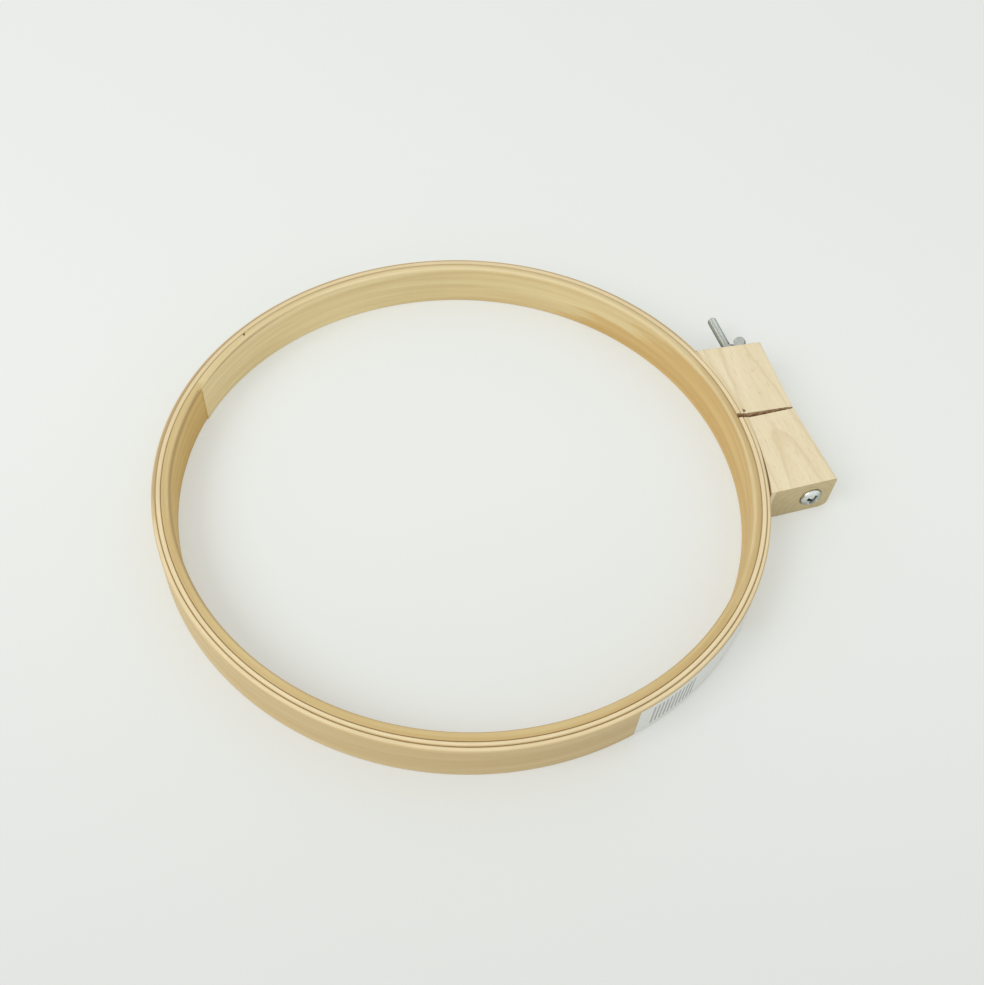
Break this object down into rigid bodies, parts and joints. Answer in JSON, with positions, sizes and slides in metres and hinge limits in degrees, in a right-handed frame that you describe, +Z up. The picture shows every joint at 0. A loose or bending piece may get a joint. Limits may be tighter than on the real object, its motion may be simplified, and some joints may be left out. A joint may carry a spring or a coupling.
{
  "type": "embroidery hoop",
  "caption": "Wooden embroidery hoop: a plain inner ring in a split two-ply outer ring, drawn together by a screw and wing nut through a sawn block.",
  "frame": {"origin": "middle of the footprint, on the surface that the hoop lies on", "axes": "+Z up through the hoop; the split and the block are at +X; the screw runs along Y, its head at -Y and its nut at +Y"},
  "size_m": [0.2608, 0.238, 0.0185],
  "materials": {
    "ring_wood": "bent hardwood strip, sanded, unvarnished",
    "ply_wood": "bent hardwood strip, sanded, unvarnished",
    "block_wood": "pale close-grained hardwood, planed and sawn",
    "label_paper": "white coated paper with pale grey printing",
    "screw_zinc": "bright zinc plate",
    "nut_zinc": "cast, dull zinc",
    "brad_steel": "plain drawn wire"
  },
  "bodies": {
    "near_half": {"inner_ply_near": "ply_wood", "outer_ply_near": "ply_wood", "block_near": "block_wood", "brad_near_1": "brad_steel", "brad_near_2": "brad_steel", "clamp_screw": "screw_zinc", "paper_label": "label_paper"},
    "far_half": {"inner_ply_far": "ply_wood", "outer_ply_far": "ply_wood", "block_far": "block_wood", "brad_far_1": "brad_steel", "brad_far_2": "brad_steel"},
    "washer": {"flat_washer": "screw_zinc"},
    "nut": {"wing_nut": "nut_zinc"},
    "inner_ring": {"inner_ring": "ring_wood"}
  },
  "joints": [
    {"name": "ring_open", "type": "hinge", "parent": "near_half", "child": "far_half", "pos_m": [-0.13036, 0, 0.00875], "axis": [0, 0, 1], "range_deg": [0, 0.9571]},
    {"name": "nut_travel", "type": "slide", "parent": "near_half", "child": "washer", "axis": [-0.0113, 0.9999, 0], "range_m": [0, 0.0042]},
    {"name": "nut_spin", "type": "hinge", "parent": "washer", "child": "nut", "pos_m": [0.12014, 0.04031, 0.00875], "axis": [-0.0113, 0.9999, 0], "range_deg": [0, 2160]},
    {"name": "inner_ring_lift", "type": "slide", "parent": "near_half", "child": "inner_ring", "axis": [0, 0, 1], "range_m": [0, 0.03]}
  ],
  "couplings": [
    {"joint": "nut_spin", "follows": "nut_travel", "rad_per_m": 8976},
    {"joint": "ring_open", "follows": "nut_travel", "rad_per_m": 3.9773}
  ]
}
